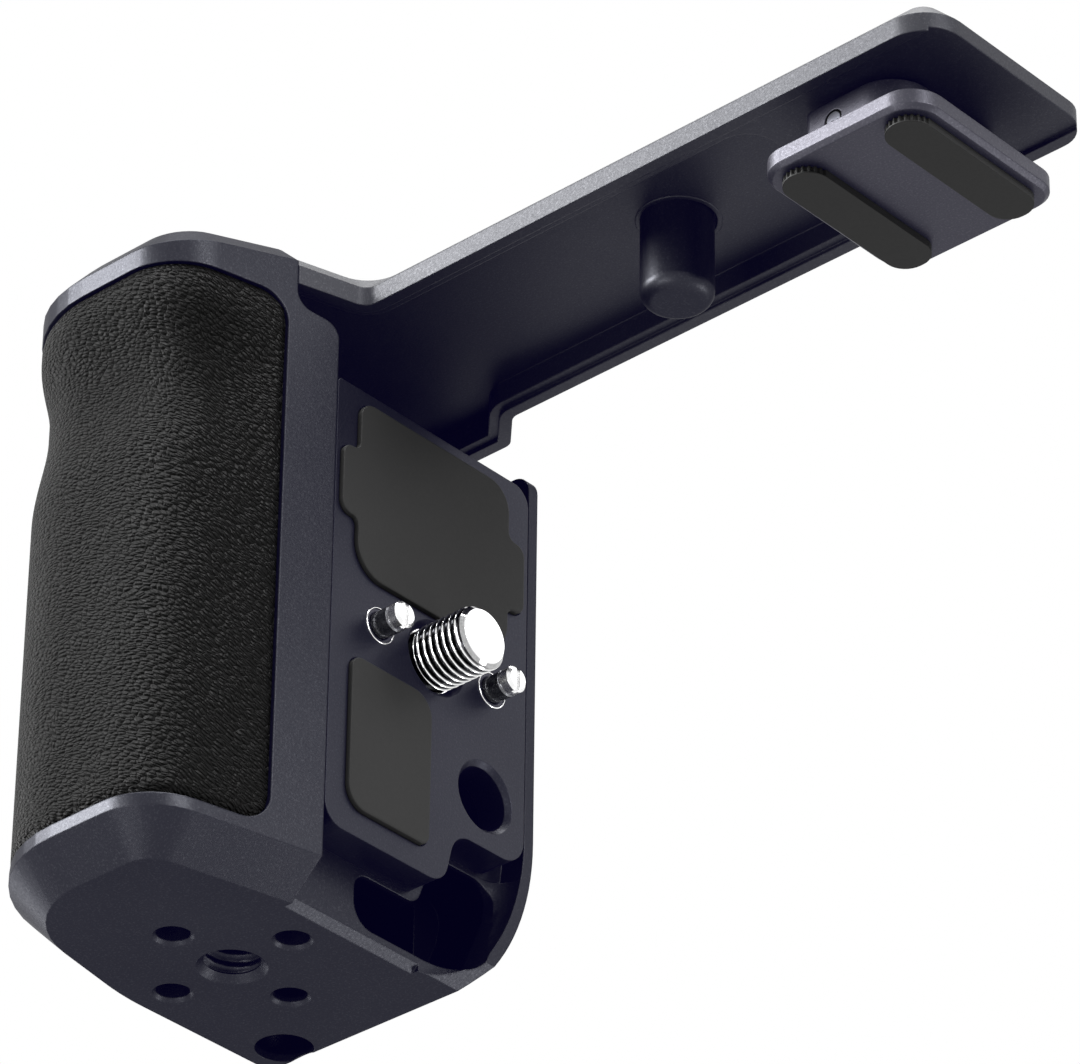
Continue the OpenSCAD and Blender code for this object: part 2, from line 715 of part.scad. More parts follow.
// Slotted locating pin, pressed into the plate
module locating_pin(side) {
    color(steel) translate([0, side * pin_offset, 0]) difference() {
        rotate([0, 90, 0]) rotate_extrude() polygon([
            [0, side_face + 0.1], [pin_shank, side_face + 0.1], [pin_shank, -pin_neck_length],
            [pin_neck, -pin_neck_length], [pin_neck, 0],
            [pin_radius, 0], [pin_radius, pin_reach - 0.3],
            [pin_radius - 0.3, pin_reach], [0, pin_reach]]);
        translate([pin_reach - 0.6, -pin_slot / 2, -far]) cube([far, pin_slot, 2 * far]);
    }
}

module pin_front() {
    locating_pin(-1);
}

module pin_rear() {
    locating_pin(1);
}

// Plan of the arm, with its root run on past the seat so that the seat's edges stay square
lean = 16.2;
arm_v = 1.05;
past_root = 30;
arm_corners = [
    [-40, -past_root, 0],
    [arm_v - tan(lean) * (past_root - arm_front), -past_root, 0],
    [arm_v, -arm_front, 1.5],
    [arm_length, -arm_front, 4.2],
    [arm_length, arm_rear, 2.9],
    [-1.2, arm_rear, 1.5],
    [-4.6, grip_rear, 1.6],
    [-40, grip_rear, 0]];

module arm_block() {
    full = outline(arm_corners);
    arc = arc_steps + 1;
    first_v = 2;
    last_v = first_v + arc - 1;
    first_s = first_v + 3 * arc;
    last_s = first_s + arc - 1;
    end = len(full) - 1;
    stack([
        raised(full, arm_underside),
        raised(full, arm_top - arm_chamfer),
        raised(outline(arm_corners, arm_chamfer), arm_top)], concat(
        [[for (i = [0:first_v]) i, for (i = [last_s:end]) i]],
        [for (i = [0:arc_steps - 1]) [first_v + i, first_v + i + 1, last_s - i - 1, last_s - i]],
        [[for (i = [last_v:first_s]) i]]));
}

module arm_root_space() {
    translate([root_back, root_front, arm_underside]) cube([far, far, far]);
}

// Hollow in the arm's underside, drawn in from the arm's edges as far as its end
module arm_hollow(wall, end, corner, high) {
    edges = [
        [gap_back + 0.3 - wall, root_front, 0],
        [arm_v - tan(lean) * (-root_front - arm_front), root_front, 0],
        [arm_v, -arm_front, 1.5],
        [end + wall, -arm_front, corner + wall],
        [end + wall, arm_rear, corner + wall],
        [-1.2, arm_rear, 1.5],
        [-4.6, grip_rear, 1.6],
        [gap_back + 0.3 - wall, grip_rear, 0]];
    prism(outline(edges, wall), arm_underside - 1, high);
}

module top_arm() {
    color(metal) difference() {
        intersection() {
            arm_block();
            translate([root_back + 0.05, root_front + 0.05, 0]) cube([2 * far, far, far]);
        }
        arm_hollow(rim_width + ledge_width, pocket_end, 3, pocket_floor);
        arm_hollow(rim_width, 2 * far, 0, recess_floor);
        z_rod(bush_radius, shelf_bottom, far, [plunger_at, arm_middle]);
        z_rod(peg_radius + running, 0, far, [plunger_at, arm_middle]);
        translate([plunger_at, arm_middle, pocket_floor - 0.01])
            cylinder(h = 0.35, r1 = peg_radius + running + 0.35, r2 = peg_radius + running);
        for (spot = arm_screw_spots)
            translate([spot.x, spot.y, arm_top]) countersink(arm_screw_radius, arm_screw_head, arm_thickness);
    }
    color(metal) arm_lug();
}

// Lug that the shoe foot tilts on
module arm_lug() {
    translate([foot_at, arm_middle, 0]) difference() {
        translate([-lug_width / 2, -lug_depth / 2, lug_bottom])
            cube([lug_width, lug_depth, recess_floor + 0.2 - lug_bottom]);
        y_rod(pivot_radius + running, -far, far, [-pivot_offset, pivot_height]);
    }
}

module arm_screws() {
    color(steel) for (spot = arm_screw_spots)
        translate([spot.x, spot.y, arm_top - 0.05])
            countersunk(arm_screw_radius, arm_screw_head, arm_screw_length, 2);
}

// Guide bush, set in the arm from above
module plunger_bush() {
    color(metal) translate([plunger_at, arm_middle, 0]) difference() {
        union() {
            z_rod(bush_radius, shelf_bottom, bush_top, [0, 0]);
            z_rod(bush_rim, arm_top, arm_top + bush_rim_thickness, [0, 0]);
        }
        z_rod(stem_radius + running, 0, far, [0, 0]);
        z_rod(button_radius + running, spring_bottom, far, [0, 0]);
        translate([0, 0, bush_top - 0.4]) cylinder(h = 0.41, r1 = button_radius + running, r2 = button_radius + 0.5);
    }
}

module shutter_plunger() {
    low = pocket_floor - peg_length;
    high = shelf_bottom - 0.02;
    color(metal) translate([plunger_at, arm_middle, 0]) {
        rotate_extrude() polygon(concat(
            [[0, low], [peg_radius - peg_fillet, low]],
            [for (a = [-80:10:0]) [peg_radius - peg_fillet + peg_fillet * cos(a), low + peg_fillet + peg_fillet * sin(a)]],
            [[peg_radius, high], [0, high]]));
        z_rod(stem_radius, high, button_bottom + 1.6, [0, 0]);
    }
}

module plunger_button() {
    color(metal) translate([plunger_at, arm_middle, 0]) difference() {
        rotate_extrude() polygon([
            [0, button_bottom], [button_radius, button_bottom],
            [button_radius, button_bottom + button_thickness - 0.5],
            [button_radius - 0.5, button_bottom + button_thickness],
            [1.6, button_bottom + button_thickness - 0.15], [0, button_bottom + button_thickness - 0.2]]);
        z_rod(stem_radius, 0, button_bottom + 1.6, [0, 0]);
    }
}

// Return spring round the stem, one unbroken wire from the shelf to the button
module plunger_spring() {
    sides = 6;
    per_turn = 12;
    coil = (stem_radius + button_radius) / 2 + 0.05;
    low = spring_bottom + wire_radius + 0.03;
    high = button_bottom - wire_radius - 0.03;
    rings = spring_turns * per_turn;
    function centre(t) = [coil * cos(360 * spring_turns * t), coil * sin(360 * spring_turns * t), low + (high - low) * t];
    points = [for (i = [0:rings], k = [0:sides - 1])
        let(
            t = i / rings,
            c = centre(t),
            out = [cos(360 * spring_turns * t), sin(360 * spring_turns * t), 0],
            a = 360 * k / sides
        )
        c + wire_radius * (out * cos(a) + [0, 0, 1] * sin(a))];
    color(steel) translate([plunger_at, arm_middle, 0]) polyhedron(points = points, faces = concat(
        [[for (k = [0:sides - 1]) k]],
        [[for (k = [0:sides - 1]) rings * sides + sides - 1 - k]],
        [for (i = [0:rings - 1], k = [0:sides - 1], h = [0, 1])
            let(a = i * sides + k, b = i * sides + (k + 1) % sides)
            h == 0 ? [a, a + sides, b + sides] : [a, b + sides, b]]));
}

// Foot that slides into a camera's shoe, with a slotted neck over the lug
module shoe_foot() {
    half_w = foot_width / 2;
    half_l = foot_length / 2;
    corners = [[-half_w, -half_l, 3], [half_w, -half_l, 3.4], [half_w, half_l, 2.6], [-half_w, half_l, 3.2]];
    edge = 0.45;
    w = neck_width / 2;
    d = neck_depth / 2;
    color(metal) translate([foot_at, 0, 0]) difference() {
        union() {
            hull() {
                prism(outline(corners, edge), foot_underside, foot_underside + 0.01);
                prism(outline(corners), foot_underside + edge, foot_top);
            }
            prism(outline([[-w, -d, 1.2], [w, -d, 4], [w, d, 4], [-w, d, 1.2]]), foot_top - 0.1, neck_top);
        }
        translate([-far, arm_middle - lug_depth / 2 - 0.25, slot_bottom]) cube([2 * far, lug_depth + 0.5, far]);
        y_rod(pivot_radius, -far, far, [-pivot_offset, pivot_height]);
    }
}

module shoe_pivot() {
    color(steel) y_rod(pivot_radius, 0.05 - neck_depth / 2, neck_depth / 2 - 0.05, [pivot_at, pivot_height]);
}

// Rubber strip with round ends under the foot
module foot_strip(side) {
    r = strip_width / 2 - 0.01;
    y = strip_length / 2;
    x = strip_width / 2;
    color(rubber) translate([foot_at + side * strip_offset, 0, 0])
        prism(outline([[-x, -y, r], [x, -y, r], [x, y, r], [-x, y, r]]), foot_underside - strip_proud, foot_underside);
}

module strip_inner() {
    foot_strip(-1);
}

module strip_outer() {
    foot_strip(1);
}

grip_shell();
leather_wrap();
side_plate();
pad_upper();
pad_lower();
plate_screws();
camera_screw();
screw_washer();
screw_clip();
pin_front();
pin_rear();
top_arm();
arm_screws();
plunger_bush();
shutter_plunger();
plunger_button();
plunger_spring();
shoe_foot();
shoe_pivot();
strip_inner();
strip_outer();
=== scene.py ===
import json
import math

import bmesh
import bpy
from mathutils import Matrix, Vector


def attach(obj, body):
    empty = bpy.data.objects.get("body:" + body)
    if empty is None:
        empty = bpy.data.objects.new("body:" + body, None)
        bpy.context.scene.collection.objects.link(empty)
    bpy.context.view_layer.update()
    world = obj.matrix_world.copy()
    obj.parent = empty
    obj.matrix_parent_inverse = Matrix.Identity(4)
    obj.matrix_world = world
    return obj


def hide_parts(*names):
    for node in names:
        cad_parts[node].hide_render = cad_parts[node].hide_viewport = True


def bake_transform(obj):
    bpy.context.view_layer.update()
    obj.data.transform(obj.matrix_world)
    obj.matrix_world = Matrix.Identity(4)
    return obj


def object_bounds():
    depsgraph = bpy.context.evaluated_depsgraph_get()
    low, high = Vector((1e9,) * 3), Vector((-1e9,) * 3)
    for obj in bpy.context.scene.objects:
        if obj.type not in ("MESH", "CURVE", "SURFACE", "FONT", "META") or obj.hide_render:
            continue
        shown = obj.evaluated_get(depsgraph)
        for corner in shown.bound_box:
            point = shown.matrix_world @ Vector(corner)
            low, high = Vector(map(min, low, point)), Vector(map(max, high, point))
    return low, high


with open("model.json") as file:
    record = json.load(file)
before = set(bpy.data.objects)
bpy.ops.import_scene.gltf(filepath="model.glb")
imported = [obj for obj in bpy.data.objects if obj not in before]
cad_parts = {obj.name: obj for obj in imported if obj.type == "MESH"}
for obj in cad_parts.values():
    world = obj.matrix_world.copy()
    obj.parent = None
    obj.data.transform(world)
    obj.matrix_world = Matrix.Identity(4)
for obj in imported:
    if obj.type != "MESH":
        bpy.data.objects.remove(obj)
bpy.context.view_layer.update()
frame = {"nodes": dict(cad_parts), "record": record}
mm = 0.001


record = frame["record"]
slotOf = {part["node"]: part["material_slot"] for part in record["subparts"]}
bodyOf = {node: body for body, nodes in record["behaviour"]["bodies"].items() for node in nodes}
jointOf = {joint["name"]: joint for joint in record["behaviour"]["joints"]}
print("frame loaded")

view = {
    "position": (346.44, -365.32, -307.10),  # mm in the part's frame
    "azimuth": 42.42, "rise": 32.52, "roll": -0.717,  # degrees
    "lens": 214.93, "sensor": 36, "clipStart": 10,  # mm
}


def placeCamera():
    azimuth, rise, roll = (math.radians(view[k]) for k in ("azimuth", "rise", "roll"))
    ahead = Vector((-math.sin(azimuth) * math.cos(rise), math.cos(azimuth) * math.cos(rise), math.sin(rise)))
    level = Vector((math.cos(azimuth), math.sin(azimuth), 0))
    below = ahead.cross(level)
    right = level * math.cos(roll) + below * math.sin(roll)
    down = -level * math.sin(roll) + below * math.cos(roll)
    turn = Matrix((right, -down, -ahead)).transposed().to_4x4()
    data = bpy.data.cameras.new("photoCamera")
    data.lens = view["lens"]
    data.sensor_width = view["sensor"]
    data.sensor_fit = "HORIZONTAL"
    data.clip_start = view["clipStart"] * mm
    camera = bpy.data.objects.new("photoCamera", data)
    camera.matrix_world = Matrix.Translation(Vector(view["position"]) * mm) @ turn
    bpy.context.scene.collection.objects.link(camera)
    bpy.context.scene.camera = camera


placeCamera()
print("camera placed")


# a socket of a node tree; Python's operators add Math nodes to it
class Wire:
    def __init__(self, graph, socket):
        self.graph = graph
        self.socket = socket

    def maths(self, operation, *values):
        node = self.graph.add("ShaderNodeMath", {"operation": operation}, dict(enumerate(values)))
        return Wire(self.graph, node.outputs[0])

    def __add__(self, other):
        return self.maths("ADD", self, other)

    def __sub__(self, other):
        return self.maths("SUBTRACT", self, other)

    def __rsub__(self, other):
        return self.maths("SUBTRACT", other, self)

    def __mul__(self, other):
        return self.maths("MULTIPLY", self, other)

    def larger(self, other):
        return self.maths("MAXIMUM", self, other)

    def root(self):
        return self.maths("SQRT", self)

    __radd__ = __add__


# a node tree of a material or world
class Graph:
    def __init__(self, owner):
        owner.use_nodes = True
        self.tree = owner.node_tree
        self.tree.nodes.clear()

    def add(self, kind, settings=None, inputs=None):
        node = self.tree.nodes.new(kind)
        for key, value in (settings or {}).items():
            setattr(node, key, value)
        for key, value in (inputs or {}).items():
            self.feed(node.inputs[key], value)
        return node

    def wire(self, kind, settings=None, inputs=None, output=0):
        return Wire(self, self.add(kind, settings, inputs).outputs[output])

    def feed(self, socket, value):
        if isinstance(value, Wire):
            self.tree.links.new(value.socket, socket)
        elif socket.type == "RGBA" and len(value) == 3:
            socket.default_value = (*value, 1)
        else:
            socket.default_value = value


# one material in the making, around a Principled shader
class Finish(Graph):
    def __init__(self, name, surface):
        self.material = bpy.data.materials.new(name)
        super().__init__(self.material)
        self.shader = self.add("ShaderNodeBsdfPrincipled", {}, surface)
        self.light = Wire(self, self.shader.outputs[0])
        self.out = self.add("ShaderNodeOutputMaterial", {}, {"Surface": self.light})
        self.place = self.wire("ShaderNodeTexCoord", output="Object")

    def axes(self):
        node = self.add("ShaderNodeSeparateXYZ", {}, {0: self.place})
        return [Wire(self, socket) for socket in node.outputs]

    def noise(self, size, detail=2.0, roughness=0.5):
        # the size of its patches is in mm
        return self.wire("ShaderNodeTexNoise", {}, {
            "Vector": self.place, "Scale": 1000 / size, "Detail": detail, "Roughness": roughness})

    def clamped(self, value, low, high):
        # 0 up to low, 1 from high on
        return self.wire("ShaderNodeMapRange", {"interpolation_type": "SMOOTHSTEP"}, {
            "Value": value, "From Min": low, "From Max": high, "To Min": 0.0, "To Max": 1.0})

    def blend(self, factor, first, second):
        return self.wire("ShaderNodeMix", {"data_type": "RGBA"}, {0: factor, 6: first, 7: second}, output=2)

    def bump(self, height, strength, relief, normal=None):
        inputs = {"Height": height, "Strength": strength, "Distance": relief * mm}
        if normal is not None:
            inputs["Normal"] = normal
        return self.wire("ShaderNodeBump", {}, inputs)

    def within(self, low, high, blur=0.3):
        # 1 inside a box given in mm, 0 outside it
        mask = 1
        for value, start, end in zip(self.axes(), low, high):
            mask = self.clamped(value, (start - blur) * mm, start * mm) * mask
            mask = (1 - self.clamped(value, end * mm, (end + blur) * mm)) * mask
        return mask

    def roundedEdge(self, radius):
        return self.wire("ShaderNodeBevel", {"samples": 6}, {"Radius": radius * mm})

    def surface(self, colour, roughness, normal):
        for key, value in (("Base Color", colour), ("Roughness", roughness), ("Normal", normal)):
            self.feed(self.shader.inputs[key], value)
        return self.material


def grey(value):
    return (value, value, value)


blasted = {
    "grain": 0.26, "fleck": 0.2, "cloud": 14,  # mm, size of each pattern
    "detail": 3.0, "harshness": 0.7, "flecksFrom": 0.5, "flecksTo": 0.74,
    "fleckShare": 0.3, "cloudShare": 0.12, "pale": 3.2, "paintedPocketShade": 0.16,
    "bump": 0.5, "relief": 0.025, "spread": 0.25,
    # painted shade: a faint navy glow that the metal emits everywhere, so that its shadows read navy
    "paintedShadowNavy": (0.1, 0.06, 1.0), "paintedShadowGlow": 0.009,  # a faint navy in the shadows
    # painted shade: the metal is darkened inside this box, the strap pocket, where shade falls
    "strapPocketShadeBox": ((-26, -5.6, -29.3), (-4.3, 11.4, -14.2)),  # darker inside this box in mm
}


def blastedMetal(name, colour, roughness, edge, glance=1.0, paintedShadeBox=None):
    m = blasted
    # painted shade: the emission is a faint navy glow standing in for the navy of the shadows
    finish = Finish(name, {
        "Metallic": 1.0, "Specular Tint": grey(glance),
        "Emission Color": m["paintedShadowNavy"], "Emission Strength": m["paintedShadowGlow"]})
    grain = finish.noise(m["grain"], m["detail"], m["harshness"])
    specks = finish.noise(m["fleck"], roughness=m["harshness"])
    fleck = finish.clamped(specks, m["flecksFrom"], m["flecksTo"])
    cloud = finish.noise(m["cloud"])
    pale = tuple(min(1, c * m["pale"]) for c in colour)
    base = finish.blend(fleck * m["fleckShare"] + cloud * m["cloudShare"], colour, pale)
    # painted shade: darker colour inside the box stands in for the shade in the strap pocket
    if paintedShadeBox:
        base = finish.blend(finish.within(*paintedShadeBox), base, tuple(c * m["paintedPocketShade"] for c in colour))
    normal = finish.bump(grain, m["bump"], m["relief"], finish.roundedEdge(edge))
    return finish.surface(base, roughness + (grain - 0.5) * m["spread"], normal)


rubber = {
    "specular": 0.2, "grain": 0.3, "detail": 3.0, "cloud": 7, "shade": 0.12,
    "bump": 0.25, "relief": 0.012, "edge": 0.12, "spread": 0.12,
}


def matteRubber(name, colour, roughness):
    m = rubber
    finish = Finish(name, {"Specular IOR Level": m["specular"]})
    grain = finish.noise(m["grain"], m["detail"])
    cloud = finish.noise(m["cloud"])
    base = finish.blend(cloud, grey(colour * (1 - m["shade"])), grey(colour * (1 + m["shade"])))
    normal = finish.bump(grain, m["bump"], m["relief"], finish.roundedEdge(m["edge"]))
    return finish.surface(base, roughness + (grain - 0.5) * m["spread"], normal)


turning = {"size": 0.35, "edge": 0.05, "shade": 0.9, "spread": 0.08}


def brightSteel(name, colour, roughness):
    m = turning
    finish = Finish(name, {"Metallic": 1.0})
    turned = finish.noise(m["size"])
    base = finish.blend(turned, grey(colour * m["shade"]), grey(colour))
    return finish.surface(base, roughness + turned * m["spread"], finish.roundedEdge(m["edge"]))


pinLook = {
    "shank": (0.15, 0.152, 0.165), "tip": 0.88, "tipFrom": 1.95, "blur": 0.1,
    "roughness": 0.22, "spread": 0.1,
}


def pinSteel(name):
    # dark shank, bright tip
    m = pinLook
    finish = Finish(name, {"Metallic": 1.0})
    along = finish.axes()[0]
    tip = finish.clamped(along, m["tipFrom"] * mm, (m["tipFrom"] + m["blur"]) * mm)
    turned = finish.noise(turning["size"])
    base = finish.blend(tip, m["shank"], grey(m["tip"]))
    return finish.surface(base, m["roughness"] + turned * m["spread"], finish.roundedEdge(turning["edge"]))


threadLook = {
    # painted shade: the groove colour is the dark of the shaded thread grooves; the crest colour is the steel's
    # own
    "groove": (0.05, 0.051, 0.056), "crest": 0.92,
    "grooveRadius": 2.98, "crestRadius": 3.14, "tipFrom": 5.5, "discFrom": 5.9, "blur": 0.05,
    "paintedChamferShade": 0.75, "streaks": 0.4, "roughness": 0.08, "spread": 0.08, "edge": 0.04,
}


def threadSteel(name):
    # bright crests and tip over dark grooves: painted shade in the grooves and a painted darker band on the
    # tip's chamfer
    m = threadLook
    finish = Finish(name, {"Metallic": 1.0})
    along, sideways, upwards = finish.axes()
    radius = (sideways * sideways + upwards * upwards).root()
    ridge = finish.clamped(radius, m["grooveRadius"] * mm, m["crestRadius"] * mm)
    tip = finish.clamped(along, (m["tipFrom"] - m["blur"]) * mm, m["tipFrom"] * mm)
    disc = finish.clamped(along, m["discFrom"] * mm, (m["discFrom"] + m["blur"]) * mm)
    turned = finish.noise(turning["size"])
    # painted shade on the tip's chamfer, broken up by the turned streaks
    chamfer = tip * (1 - disc) * (m["paintedChamferShade"] - turned * m["streaks"])
    base = finish.blend(ridge.larger(tip) - chamfer, m["groove"], grey(m["crest"]))
    return finish.surface(base, m["roughness"] + turned * m["spread"], finish.roundedEdge(m["edge"]))


pivotLook = {
    "middle": (0.16, 0.163, 0.19), "ring": 0.004, "ringRadius": 0.78, "blur": 0.1,
    "grain": 0.3, "roughness": 0.25, "spread": 0.1,
}


def pivotSteel(name, centre):
    # dark ring round a pale middle
    m = pivotLook
    finish = Finish(name, {"Metallic": 1.0})
    x, y, z = finish.axes()
    across, upwards = x - centre[0], z - centre[2]
    radius = (across * across + upwards * upwards).root()
    ring = finish.clamped(radius, (m["ringRadius"] - m["blur"]) * mm, m["ringRadius"] * mm)
    base = finish.blend(ring, m["middle"], grey(m["ring"]))
    roughness = m["roughness"] + finish.noise(m["grain"]) * m["spread"]
    return finish.surface(base, roughness, finish.roundedEdge(turning["edge"]))


pebbles = {
    "specular": 0.07, "roughness": 0.52, "creaseRoughness": 0.14,
    "sway": 0.22, "swayReach": (1.5, 1.5, 0.0), "turn": -26, "stretch": (0.85, 2.0, 1.0),
    "cells": 1.55, "cellReach": 0.85, "creaseWidth": 0.16, "relief": 0.5,
    "domeHeight": 0.7, "creaseHeight": 0.4,
    "wideFold": 1.3, "wideHeight": 0.8, "fineFold": 5.0, "fineHeight": 0.12, "foldHarshness": 0.6,
    "cloud": 9, "paintedCreaseShade": 0.0002, "darkShade": 0.0026, "paleShade": 0.0038,
}


def pebbledLeather(name):
    m = pebbles
    finish = Finish(name, {"Specular IOR Level": m["specular"]})
    wrap = finish.wire("ShaderNodeAttribute", {"attribute_name": "wrap"}, output="Vector")
    sway = finish.wire("ShaderNodeTexNoise", {}, {"Vector": wrap, "Scale": m["sway"], "Detail": 2.0}, "Color")
    shift = finish.wire("ShaderNodeVectorMath", {"operation": "MULTIPLY_ADD"}, {
        0: sway, 1: m["swayReach"], 2: wrap})
    turned = finish.wire("ShaderNodeVectorRotate", {"rotation_type": "Z_AXIS"}, {
        "Vector": shift, "Angle": math.radians(m["turn"])})
    grid = finish.wire("ShaderNodeVectorMath", {"operation": "MULTIPLY"}, {0: turned, 1: m["stretch"]})

    def cells(feature):
        return finish.wire("ShaderNodeTexVoronoi", {"feature": feature, "voronoi_dimensions": "2D"}, {
            "Vector": grid, "Scale": m["cells"], "Randomness": 1.0})

    def folds(scale):
        return finish.wire("ShaderNodeTexNoise", {"noise_dimensions": "2D"}, {
            "Vector": grid, "Scale": scale, "Detail": 2.0, "Roughness": m["foldHarshness"]})

    dome = 1 - finish.clamped(cells("F1"), 0.0, m["cellReach"])
    crease = finish.clamped(cells("DISTANCE_TO_EDGE"), 0.0, m["creaseWidth"])
    height = dome * m["domeHeight"] + crease * m["creaseHeight"] \
        + folds(m["wideFold"]) * m["wideHeight"] + folds(m["fineFold"]) * m["fineHeight"]
    shade = finish.blend(finish.noise(m["cloud"]), grey(m["darkShade"]), grey(m["paleShade"]))
    # painted shade: near black in the creases between the pebbles
    base = finish.blend(crease * dome, grey(m["paintedCreaseShade"]), shade)
    roughness = m["roughness"] + (1 - crease) * m["creaseRoughness"]
    return finish.surface(base, roughness, finish.bump(height, strength=1.0, relief=m["relief"]))


finishes = {
    "anodised": blastedMetal("darkAnodised", colour=(0.0235, 0.024, 0.0265), roughness=0.4, edge=0.2,
                             glance=0.5, paintedShadeBox=blasted["strapPocketShadeBox"]),
    "arm": blastedMetal("armAnodised", colour=(0.028, 0.0285, 0.0305), roughness=0.5, edge=0.2),
    "foot": blastedMetal("footAnodised", colour=(0.043, 0.0425, 0.049), roughness=0.46, edge=0.15),
    "plate": blastedMetal("plateAnodised", colour=(0.0185, 0.019, 0.0225), roughness=0.42, edge=0.14),
    "leather": pebbledLeather("charcoalLeather"),
    "rubber": matteRubber("padRubber", colour=0.0135, roughness=0.6),
    "steel": brightSteel("turnedSteel", colour=0.3, roughness=0.32),
    "chrome": brightSteel("brightPlate", colour=0.9, roughness=0.07),
    "thread": threadSteel("threadSteel"),
    "pin": pinSteel("pinSteel"),
    "pivot": pivotSteel("pivotSteel", jointOf["shoe_tilt"]["pos_m"]),
}
print("finishes made")

between = {"sharp": 38, "flat": 0.5, "beveled": 32}  # degrees between two faces
closeness = {"weld": 0.002, "cut": 0.0001, "touch": 0.001}  # mm


def finishPiece(piece, finish):
    piece.data.materials.clear()
    piece.data.materials.append(finishes[finish])


def shadeByAngle(mesh, degrees):
    bm = bmesh.new()
    bm.from_mesh(mesh)
    for face in bm.faces:
        face.smooth = True
    for edge in bm.edges:
        edge.smooth = len(edge.link_faces) == 2 and edge.calc_face_angle(0) < math.radians(degrees)
    bm.to_mesh(mesh)
    bm.free()


def newPiece(name, body, slot, points, faces, smooth=40, closed=True):
    mesh = bpy.data.meshes.new(name)
    mesh.from_pydata([Vector(p) * mm for p in points], [], faces)
    mesh.validate()
    if closed:
        bm = bmesh.new()
        bm.from_mesh(mesh)
        bmesh.ops.recalc_face_normals(bm, faces=bm.faces)
        bm.to_mesh(mesh)
        bm.free()
    piece = bpy.data.objects.new(name, mesh)
    bpy.context.scene.collection.objects.link(piece)
    shadeByAngle(mesh, smooth)
    finishPiece(piece, slot)
    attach(piece, body)
    return piece


def copyOf(nodeName, change=None, finish=None, rides=True):
    # a changed copy of a solid that stands in for it
    source = frame["nodes"][nodeName]
    mesh = source.data.copy()
    mesh.transform(source.matrix_world)
    bm = bmesh.new()
    bm.from_mesh(mesh)
    bmesh.ops.remove_doubles(bm, verts=bm.verts, dist=closeness["weld"] * mm)
    if change:
        change(bm)
    bm.to_mesh(mesh)
    bm.free()
    piece = bpy.data.objects.new(nodeName + "Look", mesh)
    bpy.context.scene.collection.objects.link(piece)
    shadeByAngle(mesh, between["sharp"])
    finishPiece(piece, finish or slotOf[nodeName])
    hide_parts(nodeName)
    if rides:
        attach(piece, bodyOf[nodeName])
        piece.modifiers.new("evenNormals", "WEIGHTED_NORMAL").keep_sharp = True
    return piece


def bevelEdges(bm, edges, width):
    bmesh.ops.bevel(bm, geom=edges, offset=width * mm, segments=2, profile=0.5,
                    affect="EDGES", clamp_overlap=True)


def cutAcross(bm, x):
    # an edge loop at this X, for points to move or to shade by
    bmesh.ops.bisect_plane(bm, geom=bm.verts[:] + bm.edges[:] + bm.faces[:],
                           dist=closeness["cut"] * mm, plane_co=(x * mm, 0, 0), plane_no=(1, 0, 0))


def roundEdges(bm, width):
    bmesh.ops.dissolve_limit(bm, angle_limit=math.radians(between["flat"]), verts=bm.verts, edges=bm.edges)
    limit = math.radians(between["beveled"])
    bevelEdges(bm, [e for e in bm.edges if len(e.link_faces) == 2 and e.calc_face_angle(0) > limit], width)


roundings = {
    # mm taken off the sharp edges
    "pad_upper": 0.2, "pad_lower": 0.2, "shoe_foot": 0.15,
    "shutter_plunger": 0.15, "plunger_button": 0.2, "plunger_bush": 0.15,
}

for nodeName, node in frame["nodes"].items():
    finishPiece(node, slotOf[nodeName])
for nodeName, width in roundings.items():
    copyOf(nodeName, lambda bm: roundEdges(bm, width), "foot" if nodeName == "shoe_foot" else None)
copyOf("top_arm", finish="arm")
copyOf("side_plate")
print("solids dressed")


leather = {
    "front": 32, "width": 30.5, "corner": 14, "lean": 13,  # mm and degrees, as in the solids
    "palmTurn": 4, "palmFrom": -12, "middle": -8,
    "nose": 6.6, "palmFront": 13.2, "palmSide": 30,  # radii round the wrap
    "setback": 5.4, "rear": 8, "low": -25.5, "high": 30.7,
    "cornerRadius": 3, "thickness": 2.1, "gap": 0.06,
    "groove": 1.1, "grooveHeight": 21,
    "above": 7.8, "aboveRun": 7, "below": 10.5, "belowRun": 9.5,  # how the groove fades up and down
    "palmReach": 2, "palmRun": 16, "noseReach": 1, "noseRun": 9,  # and along the wrap
    "roll": 0.9, "rollDepth": 0.38, "rollPower": 1.5, "cornerShare": 0.3,  # how the edge turns in
    "step": 0.5,
}


def smoothStep(t):
    t = min(max(t, 0), 1)
    return t * t * (3 - 2 * t)


def roundedLine(corners, radii, step):
    # points along straight runs and arcs, at most one step apart
    line = [Vector(corners[0])]
    for i in range(1, len(corners) - 1):
        p, q, s = (Vector(c) for c in corners[i - 1:i + 2])
        u, v, r = (p - q).normalized(), (s - q).normalized(), radii[i - 1]
        half = math.acos(max(-1, min(1, u.dot(v)))) / 2
        centre = q + (u + v).normalized() * (r / math.sin(half))
        first, last = q + u * (r / math.tan(half)) - centre, q + v * (r / math.tan(half)) - centre
        turn = math.atan2(first.x * last.y - first.y * last.x, first.dot(last))
        count = max(2, math.ceil(abs(turn) * r / step))
        for k in range(count + 1):
            a = turn * k / count
            line.append(centre + Vector((first.x * math.cos(a) - first.y * math.sin(a),
                                         first.x * math.sin(a) + first.y * math.cos(a))))
    line.append(Vector(corners[-1]))
    filled = [line[0]]
    for q in line[1:]:
        p = filled[-1]
        count = max(1, math.ceil((q - p).length / step))
        filled += [p + (q - p) * (k / count) for k in range(1, count + 1)]
    return filled


